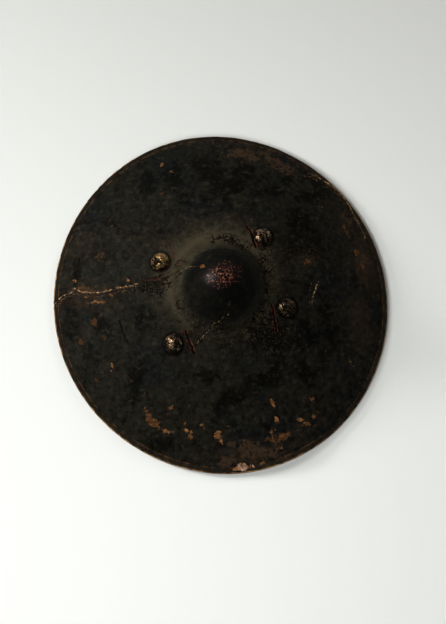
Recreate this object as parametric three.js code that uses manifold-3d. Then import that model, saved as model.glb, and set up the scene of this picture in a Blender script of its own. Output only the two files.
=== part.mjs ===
// A round shield of thick moulded hide, lying on its rim with the boss up.
// The border, field and hollow boss are one sheet of hide. Four domed studs pass through it and rivet two
// leather hand straps to its back. Millimetres and degrees, +Z up, origin on the floor under the middle.
import * as THREE from "three";
import { mergeVertices } from "three/addons/utils/BufferGeometryUtils.js";
import Module from "manifold-3d";

const wasm = await Module();
wasm.setup();

// ---- Driving dimensions ----

const hide = { thickness: 4.5, facets: 60 };

// The plan of the shield: a circle with slow waves, each with its count round the shield, height and crest.
const outline = {
  meanRadius: 254.1,
  waves: [
    { count: 2, height: 5.7, crest: 111 },
    { count: 3, height: 0.4, crest: -27 },
    { count: 4, height: 0.7, crest: 18 },
  ],
};

// The field falls from the middle to the rim as one minus a power of the radius.
const field = { rise: 78, power: 1.7, rings: 9 };

// The rolled border: flat below, rounded outside, and highest at its crown, with a shallow groove inside it.
const rim = {
  width: 8.5,
  faceHeight: 6,
  crown: 1.1,
  crownIn: 3.8,
  grooveDepth: 0.8,
  grooveWidth: 2,
  edgeHeight: 3,
  chamfer: 1.3,
  step: 2.5,
};

// One stretch of the border has warped up off the floor. The lift begins and ends at a share of the radius.
const warp = { angle: -66, halfWidth: 20, lift: 6, begins: 0.8, ends: 0.97 };

// The boss stands a little off the middle, in a narrow moat with a low ring round it.
const boss = { radius: 62, height: 42, roundness: 0.75, offsetX: 3.3, offsetY: 8.6, rings: 9 };
const moat = { radius: 64.5, depth: 1.6, width: 3.5 };
const ring = { radius: 73, height: 2, width: 5 };

// Each stud is one rivet. Its place is a radius and an angle about the boss.
const stud = {
  radius: 14.2,
  height: 9.5,
  shankRadius: 1.6,
  tailRadius: 6,
  tailHeight: 2,
  domeSteps: 6,
  tailSteps: 3,
  facets: 20,
};
const studPlaces = [
  { name: "stud_upper_left", radius: 99.3, angle: 156.8 },
  { name: "stud_upper_right", radius: 97.2, angle: 52 },
  { name: "stud_lower_left", radius: 108.8, angle: 229.1 },
  { name: "stud_lower_right", radius: 99, angle: -17.4 },
];

// Each strap lies flat under its two studs and bows down between them to let fingers through.
const strap = { width: 30, thickness: 3, tabOut: 13, tabIn: 11, bow: 34, steps: 10, ease: 16, flat: 34 };
const strapPlaces = [
  { name: "hand_strap_upper", from: "stud_upper_left", to: "stud_upper_right" },
  { name: "hand_strap_lower", from: "stud_lower_left", to: "stud_lower_right" },
];

// Touching pieces keep this gap. The straps keep more, because the hide over them is slightly curved.
const gap = 0.3;
const strapGap = 0.9;

// The drill for the shanks is longer than hide and strap together.
const drillLength = 40;

// Steps along the face, in millimetres and radians, that give its slope.
const nudge = { radius: 1, angle: 0.01 };

// Points closer than this are one point.
const weld = 1e-3;

const finishes = {
  lacqueredHide: { color: 0x1c1b17, roughness: 0.5, metalness: 0 },
  agedBrass: { color: 0x7a6743, roughness: 0.4, metalness: 0.9 },
  strapLeather: { color: 0x4b2f1c, roughness: 0.8, metalness: 0 },
};

// ---- Solids ----

// The numbers from 0 to 1 in equal steps, both ends included.
const evenly = (steps) => Array.from({ length: steps + 1 }, (_, i) => i / steps);

const point = (x, y) => new THREE.Vector2(x, y);

// A closed three.js geometry as a solid that can be joined and cut.
function solidOf(geometry) {
  const bare = geometry.clone();
  bare.deleteAttribute("normal");
  bare.deleteAttribute("uv");
  const merged = mergeVertices(bare, weld);
  const vertProperties = new Float32Array(merged.attributes.position.array);
  const triVerts = new Uint32Array(merged.index.array);
  return new wasm.Manifold(new wasm.Mesh({ numProp: 3, vertProperties, triVerts }));
}

// A solid back as a three.js geometry.
function geometryOf(solid) {
  const mesh = solid.getMesh();
  const geometry = new THREE.BufferGeometry();
  geometry.setAttribute("position", new THREE.BufferAttribute(mesh.vertProperties, 3));
  geometry.setIndex(new THREE.BufferAttribute(mesh.triVerts, 1));
  geometry.computeVertexNormals();
  return geometry;
}

// A profile of radii and heights turned round +Z. It runs from the axis at the bottom to the axis at the top.
function turned(profile, facets) {
  return new THREE.LatheGeometry(profile, facets).rotateX(Math.PI / 2);
}

// ---- The hide ----

const bell = (r, middle, width) => Math.exp(-(((r - middle) / width) ** 2));

function fieldHeight(r) {
  return rim.faceHeight + field.rise * (1 - (r / outline.meanRadius) ** field.power);
}

function domeHeight(r, radius) {
  return r < radius ? boss.height * (1 - (r / radius) ** 2) ** boss.roundness : 0;
}

// The outer face: the field, with the boss, its moat and ring, and the border's groove.
function faceHeight(r) {
  const groove = rim.grooveDepth * bell(r, outline.meanRadius - rim.width, rim.grooveWidth);
  const low = moat.depth * bell(r, moat.radius, moat.width);
  const high = ring.height * bell(r, ring.radius, ring.width);
  return fieldHeight(r) + domeHeight(r, boss.radius) + high - low - groove;
}

// The back: the field one hide thickness down, with the hollow of the boss.
function backHeight(r) {
  const slope = (fieldHeight(r + nudge.radius) - fieldHeight(r)) / nudge.radius;
  return fieldHeight(r) - hide.thickness * Math.hypot(1, slope) + domeHeight(r, boss.radius - hide.thickness);
}

// The hide's section, from the axis below, out under the border, and back over the face to the apex.
function hideProfile() {
  const edge = outline.meanRadius;
  const inner = edge - rim.width;
  const crown = edge - rim.crownIn;
  const hollow = boss.radius - hide.thickness;
  const backStart = hollow + hide.thickness;
  const backEnd = inner - rim.step;
  const backDome = evenly(boss.rings - 2).map((t) => hollow * Math.sin((t * Math.PI) / 2));
  const backField = evenly(field.rings - 1).map((t) => backStart + t * (backEnd - backStart));
  const under = [...backDome, ...backField].map((r) => point(r, backHeight(r)));
  const border = [
    point(inner, 0),
    point(edge - rim.chamfer, 0),
    point(edge, rim.edgeHeight),
    point(edge - rim.chamfer, rim.faceHeight + rim.crown / 2),
    point(crown, fieldHeight(crown) + rim.crown),
  ];
  const grooveRadii = [inner + rim.grooveWidth, inner, inner - rim.grooveWidth];
  const faceStart = inner - 3 * rim.grooveWidth;
  const faceEnd = ring.radius + 2 * ring.width;
  const faceField = evenly(field.rings).map((t) => faceStart + t * (faceEnd - faceStart));
  const ringRadii = [ring.radius + ring.width, ring.radius, (ring.radius + moat.radius) / 2, moat.radius];
  const faceDome = evenly(boss.rings).map((t) => boss.radius * Math.cos((t * Math.PI) / 2));
  faceDome[boss.rings] = 0;
  const face = [...grooveRadii, ...faceField, ...ringRadii, ...faceDome];
  return [...under, ...border, ...face.map((r) => point(r, faceHeight(r)))];
}

// How far the outline stands out from its mean circle at an angle.
function outlineWave(angle) {
  const heights = outline.waves.map((w) => {
    return w.height * Math.cos(w.count * (angle - THREE.MathUtils.degToRad(w.crest)));
  });
  return heights.reduce((sum, height) => sum + height, 0);
}

// How far the border is lifted at an angle: a raised cosine over the warped stretch.
function warpLift(angle) {
  const turn = THREE.MathUtils.radToDeg(angle) - warp.angle;
  const away = Math.abs(THREE.MathUtils.euclideanModulo(turn + 180, 360) - 180);
  return away < warp.halfWidth ? (warp.lift * (1 + Math.cos((Math.PI * away) / warp.halfWidth))) / 2 : 0;
}

// Where a point of the turned section lies on the real shield: out of round and warped at the border, and
// shifted with the boss at the middle.
function placed(r, angle, z) {
  const share = r / outline.meanRadius;
  const reach = r + outlineWave(angle) * share ** 3;
  const shift = 1 - share ** 2;
  return new THREE.Vector3(
    boss.offsetX * shift + reach * Math.cos(angle),
    boss.offsetY * shift + reach * Math.sin(angle),
    z + warpLift(angle) * THREE.MathUtils.smoothstep(share, warp.begins, warp.ends),
  );
}

function hideBlank() {
  const blank = turned(hideProfile(), hide.facets);
  const position = blank.attributes.position;
  for (let i = 0; i < position.count; i++) {
    const [x, y, z] = [position.getX(i), position.getY(i), position.getZ(i)];
    const at = placed(Math.hypot(x, y), Math.atan2(y, x), z);
    position.setXYZ(i, at.x, at.y, at.z);
  }
  return solidOf(blank);
}

// ---- Studs ----

// A stud's frame: its foot on the outer face, and the outward normal there as its axis.
function studFrame(place) {
  const angle = THREE.MathUtils.degToRad(place.angle);
  const onFace = (r, a) => placed(r, a, faceHeight(r));
  const foot = onFace(place.radius, angle);
  const outward = onFace(place.radius + nudge.radius, angle).sub(foot);
  const sideways = onFace(place.radius, angle + nudge.angle).sub(foot);
  const axis = outward.clone().cross(sideways).normalize();
  return { foot, axis };
}

// A stud's section, from the middle of its rounded tail, up the shank and over the dome to the top.
function studGeometry() {
  const under = -(hide.thickness + strapGap + strap.thickness + gap);
  const tail = evenly(stud.tailSteps).map((t) => {
    const angle = (t * Math.PI) / 2;
    return point(stud.tailRadius * Math.sin(angle), under - stud.tailHeight * Math.cos(angle));
  });
  const dome = evenly(stud.domeSteps).map((t) => {
    const angle = (t * Math.PI) / 2;
    return point(stud.radius * Math.cos(angle), gap + stud.height * Math.sin(angle));
  });
  dome[stud.domeSteps].x = 0;
  const shank = [point(stud.shankRadius, under), point(stud.shankRadius, gap)];
  return turned([...tail, ...shank, ...dome], stud.facets);
}

// A cylinder on a stud's axis that clears its shank, to cut the hide and the straps with.
function shankHole(frame) {
  const radius = stud.shankRadius + gap;
  const hole = new THREE.CylinderGeometry(radius, radius, drillLength, stud.facets);
  const turn = new THREE.Quaternion().setFromUnitVectors(new THREE.Vector3(0, 1, 0), frame.axis);
  hole.applyQuaternion(turn);
  hole.translate(frame.foot.x, frame.foot.y, frame.foot.z);
  return solidOf(hole);
}

// ---- Hand straps ----

// A strap is a side outline carried straight across its width. In its own frame X runs from stud to stud, Y
// away from the hide's back towards the face, and Z across.
function strapGeometry(from, to) {
  const depth = hide.thickness + strapGap + strap.thickness / 2;
  const start = from.foot.clone().addScaledVector(from.axis, -depth);
  const end = to.foot.clone().addScaledVector(to.axis, -depth);
  const span = end.distanceTo(start);
  const along = end.clone().sub(start).normalize();
  const across = along.clone().cross(from.axis.clone().add(to.axis)).normalize();
  const up = across.clone().cross(along);

  // The middle line in the strap's frame: a tab square to each stud's axis, joined by one sagging curve.
  const rising = point(from.axis.dot(up), -from.axis.dot(along)).normalize();
  const falling = point(to.axis.dot(up), -to.axis.dot(along)).normalize();
  const foot = point(0, 0);
  const far = point(span, 0);
  const low = point(span / 2, -strap.bow);
  const out = foot.clone().addScaledVector(rising, -strap.tabOut);
  const left = foot.clone().addScaledVector(rising, strap.tabIn);
  const right = far.clone().addScaledVector(falling, -strap.tabIn);
  const close = far.clone().addScaledVector(falling, strap.tabOut);
  const down = new THREE.CubicBezierCurve(
    left,
    left.clone().addScaledVector(rising, strap.ease),
    point(low.x - strap.flat, low.y),
    low,
  );
  const back = new THREE.CubicBezierCurve(
    low,
    point(low.x + strap.flat, low.y),
    right.clone().addScaledVector(falling, -strap.ease),
    right,
  );
  const falls = down.getSpacedPoints(strap.steps);
  const rises = back.getSpacedPoints(strap.steps);
  const line = [out, ...falls, ...rises.slice(1), close];

  // Each side of the strap is the middle line moved half a thickness along its own normal.
  const sides = [1, -1].map((side) => {
    return line.map((p, i) => {
      const before = line[Math.max(i - 1, 0)];
      const after = line[Math.min(i + 1, line.length - 1)];
      const course = after.clone().sub(before).normalize();
      return p.clone().add(point(-course.y, course.x).multiplyScalar((side * strap.thickness) / 2));
    });
  });
  const shape = new THREE.Shape([...sides[0], ...sides[1].reverse()]);
  const geometry = new THREE.ExtrudeGeometry(shape, { depth: strap.width, bevelEnabled: false });
  geometry.translate(0, 0, -strap.width / 2);
  const basis = new THREE.Matrix4().makeBasis(along, up, across);
  return geometry.applyMatrix4(basis.setPosition(start));
}

// ---- The shield ----

const shield = new THREE.Group();

function add(name, geometry, finish) {
  const mesh = new THREE.Mesh(geometry, new THREE.MeshStandardMaterial(finish));
  mesh.name = name;
  shield.add(mesh);
  return mesh;
}

const frames = Object.fromEntries(studPlaces.map((place) => [place.name, studFrame(place)]));
const holes = Object.fromEntries(studPlaces.map((place) => [place.name, shankHole(frames[place.name])]));

const drilled = studPlaces.reduce((solid, place) => solid.subtract(holes[place.name]), hideBlank());
const body = add("shield_hide", geometryOf(drilled), finishes.lacqueredHide);

for (const place of studPlaces) {
  const mesh = add(place.name, studGeometry(), finishes.agedBrass);
  mesh.position.copy(frames[place.name].foot);
  mesh.quaternion.setFromUnitVectors(new THREE.Vector3(0, 0, 1), frames[place.name].axis);
}

for (const place of strapPlaces) {
  const whole = solidOf(strapGeometry(frames[place.from], frames[place.to]));
  const cut = whole.subtract(holes[place.from]).subtract(holes[place.to]);
  add(place.name, geometryOf(cut), finishes.strapLeather);
}

// The origin is on the floor under the middle of the outline.
body.geometry.computeBoundingBox();
const middle = body.geometry.boundingBox.getCenter(new THREE.Vector3());
shield.position.set(-middle.x, -middle.y, -body.geometry.boundingBox.min.z);

export default shield;
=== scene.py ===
"""A round shield of black lacquered hide with a hollow boss, four brass studs and two leather hand straps.

Sizes in the formulas are millimetres, and meshes are metres. +Z runs out of the boss, and the shield lies on
its border on the floor.
"""

from collections import namedtuple

import bpy
import numpy as np
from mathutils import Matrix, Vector


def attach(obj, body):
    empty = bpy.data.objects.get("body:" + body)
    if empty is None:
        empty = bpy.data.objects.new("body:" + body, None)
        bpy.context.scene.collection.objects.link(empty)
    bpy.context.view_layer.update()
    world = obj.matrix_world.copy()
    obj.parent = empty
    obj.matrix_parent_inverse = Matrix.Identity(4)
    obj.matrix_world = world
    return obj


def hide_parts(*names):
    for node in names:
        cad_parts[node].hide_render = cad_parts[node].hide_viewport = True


bl_info = {
    "name": "Hide Shield",
    "version": (1, 0, 0),
    "blender": (4, 5, 0),
    "location": "3D View > Sidebar > Hide Shield",
    "description": "Builds a lacquered hide shield, its studs and straps, and the studio round it",
    "category": "Add Mesh",
}

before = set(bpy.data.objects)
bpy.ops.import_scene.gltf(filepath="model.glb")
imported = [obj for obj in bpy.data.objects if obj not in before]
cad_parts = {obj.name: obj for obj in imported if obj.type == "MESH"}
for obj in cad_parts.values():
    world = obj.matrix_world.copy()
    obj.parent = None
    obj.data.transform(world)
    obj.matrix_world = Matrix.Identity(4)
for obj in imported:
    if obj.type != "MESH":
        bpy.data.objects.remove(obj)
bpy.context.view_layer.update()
MM = 0.001

# ---- The hide's form, as it is built ----

HIDE_THICKNESS = 4.5
MEAN_RADIUS = 254.1
OUTLINE_FACETS = 60
EDGE_WAVES = ((2, 5.7, 111), (3, 0.4, -27), (4, 0.7, 18))
FIELD_RISE, FIELD_POWER = 78, 1.7
RIM_WIDTH, RIM_FACE, RIM_CROWN, CROWN_IN, RIM_STEP = 8.5, 6, 1.1, 3.8, 2.5
GROOVE_DEPTH, GROOVE_WIDTH = 0.8, 2
WARP_ANGLE, WARP_HALF_WIDTH, WARP_LIFT = -66, 20, 6
BOSS_RADIUS, BOSS_HEIGHT, BOSS_ROUNDNESS = 62, 42, 0.75
BOSS_X, BOSS_Y = 3.3, 8.6
MOAT_RADIUS, MOAT_DEPTH, MOAT_WIDTH = 64.5, 1.6, 3.5
RING_RADIUS, RING_HEIGHT, RING_WIDTH = 73, 2, 5
BOSS_FOOT = 5.5

# ---- Studs and straps, as they are built ----

STUD_RADIUS, STUD_HEIGHT, SHANK_RADIUS, TAIL_RADIUS, TAIL_HEIGHT = 14.2, 9.5, 1.6, 6, 2
STRAP_WIDTH, STRAP_THICKNESS, TAB_OUT, TAB_IN, STRAP_BOW = 30, 3, 13, 11, 34
STRAP_EASE, STRAP_FLAT = 16, 34
GAP, STRAP_GAP = 0.3, 0.9

# Points round each ring of a mesh.
HIDE_SIDES, STUD_SIDES, STRAP_SIDES, SWEEP_SIDES = 560, 96, 56, 96

# A stud's place is a radius and an angle about the boss. Bare is how much of its dark coat is rubbed off, lit the
# angle of the side painted lighter, partly by wear and partly as painted light, tone how bright its metal is, and
# gilt how much of its gilding is left.
StudPlace = namedtuple("StudPlace", "name radius angle bare lit tone gilt")
STUDS = (
    StudPlace("stud_upper_left", 99.3, 156.8, 0.62, 60, 1.2, 1.0),
    StudPlace("stud_upper_right", 97.2, 52.0, 0.45, 130, 1.05, 0.2),
    StudPlace("stud_lower_left", 108.8, 229.1, 0.38, 60, 1.05, 0.4),
    StudPlace("stud_lower_right", 99.0, -17.4, 0.34, 120, 0.95, 0.3),
)
STRAPS = (
    ("hand_strap_upper", "stud_upper_left", "stud_upper_right"),
    ("hand_strap_lower", "stud_lower_left", "stud_lower_right"),
)

# ---- Wear, placed in millimetres from the shield's middle ----

# A mark is a split, slit or scratch: its kind, half width, depth, raised lips, zigzag and points.
Mark = namedtuple("Mark", "kind width depth lip jag points")
MARKS = tuple(Mark(*row) for row in (
    ("gold", 0.6, 1.2, 0.7, 1.2, ((-252, -9), (-240, 6), (-232, 10), (-224, 10), (-218, 15))),
    ("gold", 0.7, 1.3, 0.8, 1.8, ((-219, 17), (-209, 12), (-192, 8), (-177, 7), (-160, 9), (-141, 12), (-121, 15))),
    ("dark", 0.9, 1.0, 0.5, 1.8, ((-218, 17), (-217, 28), (-214, 45), (-210, 64))),
    ("dark", 0.6, 0.9, 0.5, 2.6, ((-121, 6), (-100, 12), (-80, 20), (-60, 30))),
    ("dark", 0.6, 0.8, 0.5, 2.4, ((-112, -2), (-96, 4), (-80, 5))),
    ("dark", 0.6, 0.8, 0.5, 2.4, ((-92, 22), (-78, 28), (-64, 38))),
    ("tan", 0.25, 0.5, 0.3, 2.0, ((-66, 27), (-46, 34), (-27, 31))),
    ("tan", 0.5, 0.9, 0.3, 3.0, ((-37, -80), (-24, -63), (-18, -57), (-7, -47))),
    ("tan", 0.5, 0.7, 0.3, 2.0, ((-6, -51), (0, -46), (12, -38))),
    ("tan", 1.5, 0.4, 0.0, 0.8, ((144, 21), (141, 13), (139, 6))),
    ("tan", 0.9, 0.4, 0.0, 0.8, ((139, 7), (136, -4))),
    ("tan", 0.4, 0.3, 0.0, 1.2, ((136, -6), (134, -16))),
    ("red", 1.2, 0.6, 0.3, 1.2, ((-73, 76), (-69, 60), (-64, 39))),
    ("red", 1.8, 0.4, 0.2, 1.4, ((-109, 18), (-94, 22), (-80, 28))),
    ("slit", 1.5, 1.8, 0.7, 2.4, ((38, 103), (45, 88), (53, 67))),
    ("slit", 1.3, 1.6, 0.7, 2.2, ((75, -18), (78, -38), (83, -60))),
    ("slit", 1.7, 2.0, 0.8, 2.2, ((-51, -57), (-45, -74), (-37, -92))),
    ("dark", 1.4, 0.9, 0.5, 1.0, ((-148, -36), (-144, -54), (-135, -74))),
    ("dark", 1.3, 0.8, 0.4, 1.4, ((-38, 46), (-26, 54), (-10, 58), (6, 57), (20, 53), (32, 46))),
    ("dark", 0.5, 0.8, 0.6, 3.0, ((18, -66), (30, -74), (44, -80), (58, -78))),
    ("dark", 0.5, 0.8, 0.6, 3.0, ((32, -92), (40, -80), (46, -66))),
    ("dark", 0.5, 0.8, 0.6, 3.0, ((52, -56), (60, -66), (74, -72))),
    ("gold", 0.7, 0.2, 0.2, 1.2, ((133, 198), (154, 190), (171, 178), (186, 162), (197, 145))),
    ("gold", 0.45, 0.2, 0.2, 1.2, ((196, 146), (207, 123), (219, 96))),
    ("tan", 0.3, 0.2, 0.0, 1.0, ((188, -89), (198, -101))),
))

# A chip is where the lacquer is gone: its place, half length, half width, turn in degrees and how pale the hide
# shows.
Chip = namedtuple("Chip", "x y length width turn pale")
CHIPS = tuple(Chip(*row) for row in (
    (36, -248, 12, 5.5, 6, 1.7), (22, -251, 5, 3, 0, 1.3), (-105, -178, 9, 4.5, -62, 0.3),
    (-95, -187, 9, 5.5, -18, 0.35), (-79, -198, 4.5, 1.8, -8, 0.7), (-70, -199, 3, 1.6, 0, 0.5),
    (-49, -198, 5.5, 2.6, -12, 0.9), (-44, -207, 3, 1.8, -60, 0.5), (-73, -165, 3, 2, 30, 0.5),
    (-52, -188, 2.5, 2.5, 0, 0.4), (-26, -190, 3, 2, 0, 0.5), (-3, -203, 6, 4.5, 40, 0.75),
    (1, -213, 4.5, 2.2, -55, 0.8), (12, -192, 4, 1.6, 10, 0.3), (77, -161, 5, 2, -60, 0.9),
    (82, -166, 3.5, 1.8, 0, 0.7), (82, -184, 6.5, 4, -55, 0.8), (76, -203, 5, 1.5, -75, 0.6),
    (134, -152, 4.5, 4, 70, 0.6), (118, -181, 3.5, 2, -20, 1.0), (126, -187, 7, 2.5, 20, 0.45),
    (137, -176, 6, 2.5, 55, 0.6), (139, -190, 3, 2, 0, 0.3), (91, -206, 9, 4, 20, 0.35),
    (78, -210, 10, 3, 0, 0.2), (88, -224, 6, 1.6, 65, 0.8), (61, -243, 5, 1.3, 10, 1.0),
    (-217, 29, 2.8, 2.6, 0, 0.8), (-208, 16, 6, 2, -25, 0.4), (-201, 2, 3, 2, 0, 0.6),
    (-190, -8, 5, 1.2, 5, 0.8), (-178, -8, 4, 1.1, 0, 0.8), (-162, 2, 3.5, 1.3, -30, 0.7),
    (-137, 22, 3, 1.6, -40, 0.6), (-25, 30, 2.4, 1.8, 20, 0.6), (129, 50, 4.5, 3.5, 20, 0.15),
    (162, 160, 2.2, 1.6, 0, 0.8), (-160, -108, 2.4, 4.5, 10, 0.8), (-187, -37, 5, 3, 50, -0.1),
    (-207, -65, 2.2, 4, 20, -0.1), (-171, -64, 3, 4, 0, -0.1), (-184, -121, 4, 3, -50, 0.15),
    (-178, 63, 3.5, 2.5, 0, 0.0), (-89, 209, 2.6, 2.2, 0, 0.5), (-73, 195, 1.8, 1.8, 0, 0.6),
    (-89, 159, 3, 2.4, 0, 0.3), (188, 108, 9, 2.5, -66, 0.35), (203, 72, 5, 2.5, -80, 0.5),
    (152, 142, 3, 2.5, -40, 0.3), (214, 50, 3, 2, -80, 0.4),
))

# A patch: place, half length, half width, turn in degrees and strength.
Patch = namedtuple("Patch", "x y length width turn strength")


def patches(*rows):
    """Patches from rows of their numbers."""
    return tuple(Patch(*row) for row in rows)


# Rubbed to a dull brown with a broken edge.
WORN = patches(
    (38, 225, 33, 11, -8, 1.0), (89, 209, 40, 13, -32, 0.85), (11, -240, 18, 9, 5, 1.1),
    (45, -225, 20, 14, 0, 1.15), (76, -231, 24, 10, 14, 1.1), (15, -216, 14, 4, 0, 1.0),
    (86, -208, 22, 9, 20, 0.9), (190, 127, 8, 15, 30, 0.8), (212, 64, 9, 20, 10, 0.75),
    (-178, 63, 9, 7, 0, 0.65), (-196, 14, 26, 7, 4, 0.8), (-190, -9, 22, 6, -6, 0.75),
    (-185, -37, 9, 8, 40, 0.7),
)
# A faint warm tone.
WARM = patches(
    (204, -37, 30, 60, 10, 1.0), (214, 60, 24, 60, 12, 1.1), (185, 125, 22, 40, 35, 0.9),
    (167, 8, 18, 16, 0, 0.7), (60, 228, 90, 22, -14, 0.8), (40, -232, 90, 24, 4, 1.0),
    (120, -195, 60, 26, 30, 0.7), (-195, 5, 60, 40, 0, 0.9), (-120, 80, 70, 50, 30, 0.5),
    (-205, 80, 26, 50, -16, 0.7), (128, 52, 26, 20, 0, 0.8), (-90, -190, 60, 26, -20, 0.5),
)
# Dark places where the lacquer is whole, and one under the boss that is painted shade for its lower side.
GLOOM_AND_BOSS_SHADE = patches(
    (-70, 185, 19, 23, 0, 1.0), (-108, 178, 15, 20, 0, 0.9), (-14, 195, 22, 24, 0, 0.9),
    (7, 168, 28, 15, 0, 1.2), (35, 190, 22, 15, 0, 1.1), (83, 162, 16, 9, 0, 0.9), (104, 181, 12, 12, 0, 1.1),
    (130, 158, 17, 13, 0, 1.3), (-59, 146, 14, 11, 0, 0.8), (12, 136, 7, 13, 0, 0.8),
    (117, 110, 16, 24, 20, 1.2), (139, 81, 16, 17, 0, 1.2), (104, 66, 13, 28, 0, 1.0),
    (152, -22, 12, 16, 0, 1.0), (126, -63, 26, 18, 0, 1.2), (86, -72, 17, 22, 0, 1.2),
    (120, -112, 17, 12, 0, 0.9), (11, -152, 16, 13, 0, 1.1), (-14, -123, 16, 13, 0, 0.8),
    (72, -126, 20, 13, 0, 0.9), (-88, -218, 22, 15, 0, 0.7), (-127, -126, 14, 12, 0, 0.8),
    (-223, -14, 12, 12, 0, 0.9), (-176, -36, 11, 13, 0, 0.7), (-107, -33, 17, 12, 0, 0.7),
    # The last patch here, under the boss, is painted shade.
    (-201, -125, 13, 18, 0, 0.7), (-215, 40, 7, 24, 0, 0.8), (4, -62, 60, 14, 0, 0.8),
)
# Finely cracked and pitted.
CRAZED = patches(
    (66, -56, 46, 34, -50, 0.85), (4, 6, 84, 84, 0, 0.85), (-90, 12, 40, 16, 15, 0.9), (66, 36, 20, 44, 0, 0.8),
    (20, 76, 40, 14, -14, 0.8), (118, 62, 36, 30, 0, 0.5),
)

# ---- Lights, each at an azimuth and elevation in degrees and a distance in metres ----

Light = namedtuple("Light", "name azimuth elevation distance size spread power tint glossy")
LIGHTS = (
    Light("key_softbox", 154, 45, 2.6, 0.8, 120, 11, (0.98, 0.99, 0.98), True),
    Light("low_softbox", 164, 21, 2.6, 0.6, 80, 9.8, (1.0, 0.99, 0.97), False),
    Light("side_softbox", 48, 30, 2.6, 0.8, 80, 2.8, (1.0, 0.97, 0.92), False),
    Light("front_softbox", 238, 52, 2.4, 1.2, 120, 13.6, (1.0, 1.0, 0.98), False),
)

# The floor is a disc that bends up into a round wall, in metres. It lies a hair under the shield, and its colour
# darkens toward the back as painted shade, along a line turned by a few degrees.
SWEEP_RADIUS, SWEEP_BEND, SWEEP_HEIGHT, FLOOR_DROP = 3.6, 1.4, 3.2, 0.0002
FLOOR_TURN, FLOOR_FADE = -12, 0.75
CAMERA_TARGET = (0.0037, -0.0143, 0.0)
ROOM_TINT = (0.95, 0.98, 1.0)
WALL_GLOW = (0.07, 0.072, 0.07)

# ---- Small touches of colour in the finishes ----

SCUFFED_BOSS = (0.0042, 0.0038, 0.0022)
# The pit colour is also the painted shade round the studs' feet.
FLECK, PIT_AND_PAINTED_SHADE, CREASE = (0.090, 0.066, 0.038), (0.0008, 0.0007, 0.0005), (0.0012, 0.0010, 0.0008)
SPECK_RED, SPECK_PINK = (0.25, 0.045, 0.030), (0.46, 0.19, 0.125)
SPLIT_BROWN, SPLIT_GOLD, SPLIT_FLAKE = (0.24, 0.125, 0.055), (0.42, 0.27, 0.13), (0.20, 0.105, 0.060)
SCRATCH_GOLD, SLIT_LIP = (0.40, 0.27, 0.12), (0.095, 0.021, 0.011)
BONE, EDGE_HIDE_AND_HIGHLIGHT = (0.44, 0.29, 0.21), (0.36, 0.215, 0.095)
BACK_PALE, BACK_DARK = (0.105, 0.058, 0.028), (0.050, 0.027, 0.014)
COAT_BROWN, STUD_PIT = (0.045, 0.027, 0.018), (0.003, 0.002, 0.0015)
METAL_SHADE = (0.33, 0.26, 0.2)

# ---- Settings ----


def colour(name, description, value):
    """A colour setting."""
    return bpy.props.FloatVectorProperty(
        name=name, description=description, default=value, subtype="COLOR", size=3, min=0, max=1
    )


def amount(name, description, value, low, high, **kind):
    """A number setting between two limits."""
    return bpy.props.FloatProperty(name=name, description=description, default=value, min=low, max=high, **kind)


class HideSettings(bpy.types.PropertyGroup):
    relief: amount("Relief", "Height of the dents and waves in the hide", 1, 0, 3)
    lacquer: colour("Lacquer", "The black lacquer", (0.0090, 0.0082, 0.0055))
    lacquer_blue: colour("Blue lacquer", "Where the black has turned bluish", (0.0050, 0.0056, 0.0056))
    deep_black_and_shade: colour("Deep lacquer", "Where the black is whole and dark", (0.0012, 0.0012, 0.0008))
    rubbed: colour("Rubbed lacquer", "Where the black is rubbed thin and brown", (0.034, 0.0205, 0.0115))
    boss: colour("Boss", "The polished boss", (0.0007, 0.0010, 0.0008))
    red: colour("Red coat", "The red coat under the black", (0.20, 0.032, 0.020))
    hide: colour("Bare hide", "Hide where the lacquer is chipped off", (0.30, 0.135, 0.050))
    dust: colour("Dust", "Dust in the hollows round the boss", (0.050, 0.041, 0.024))


class StudSettings(bpy.types.PropertyGroup):
    hammering: amount("Hammering", "Height of the hammer marks in millimetres", 0.16, 0, 1)
    plain: colour("Dull metal", "Metal without its gilding", (0.56, 0.43, 0.31))
    metal: colour("Metal", "Bare brass", (0.74, 0.48, 0.21))
    coat: colour("Coat", "The dark coat left on the brass", (0.012, 0.008, 0.005))


class StrapSettings(bpy.types.PropertyGroup):
    leather: colour("Leather", "Strap leather", (0.075, 0.034, 0.015))
    edge: colour("Edge", "Darkened strap edges", (0.022, 0.011, 0.006))


class StageSettings(bpy.types.PropertyGroup):
    elevation: amount("Elevation", "Camera's angle above the floor", np.radians(78), 0.1, 1.55, subtype="ANGLE")
    distance: amount("Distance", "Camera's distance", 2.6, 1, 10, unit="LENGTH")
    lens: amount("Lens", "Camera's focal length", 100, 20, 300, unit="CAMERA")
    power: amount("Lights", "Share of all the lights' power", 1, 0, 10)
    room: amount("Room", "The dim room's own light", 0.02, 0, 1)
    floor: colour("Floor", "Pale floor in front", (0.93, 0.95, 0.93))
    floor_far_painted_shade: colour("Far floor", "Pale floor and backdrop behind", (0.64, 0.65, 0.63))


# ---- Shared formulas ----


def bell(distance, width):
    """One at distance zero, falling away as a Gaussian."""
    return np.exp(-((distance / width) ** 2))


def smooth(t):
    """Zero below 0, one above 1, and an S-curve between."""
    t = np.clip(t, 0, 1)
    return t * t * (3 - 2 * t)


def value_noise(x, y, size, seed):
    """Random heights from 0 to 1 on a square lattice, blended between corners by an S-curve."""
    table = np.random.default_rng(seed).random((256, 256))
    u, v = x / size, y / size
    i, j = np.floor(u).astype(int), np.floor(v).astype(int)
    s, t = smooth(u - i), smooth(v - j)

    def along(row):
        return table[i % 256, row % 256] * (1 - s) + table[(i + 1) % 256, row % 256] * s

    return along(j) * (1 - t) + along(j + 1) * t


def clouds(x, y, size, octaves, seed):
    """Value noises added up, each half the size and strength of the one before, from -1 to 1."""
    total, weight, share = 0, 0, 1.0
    for octave in range(octaves):
        total = total + share * value_noise(x, y, size / 2**octave, seed + octave)
        weight += share
        share /= 2
    return 2 * total / weight - 1


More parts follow.
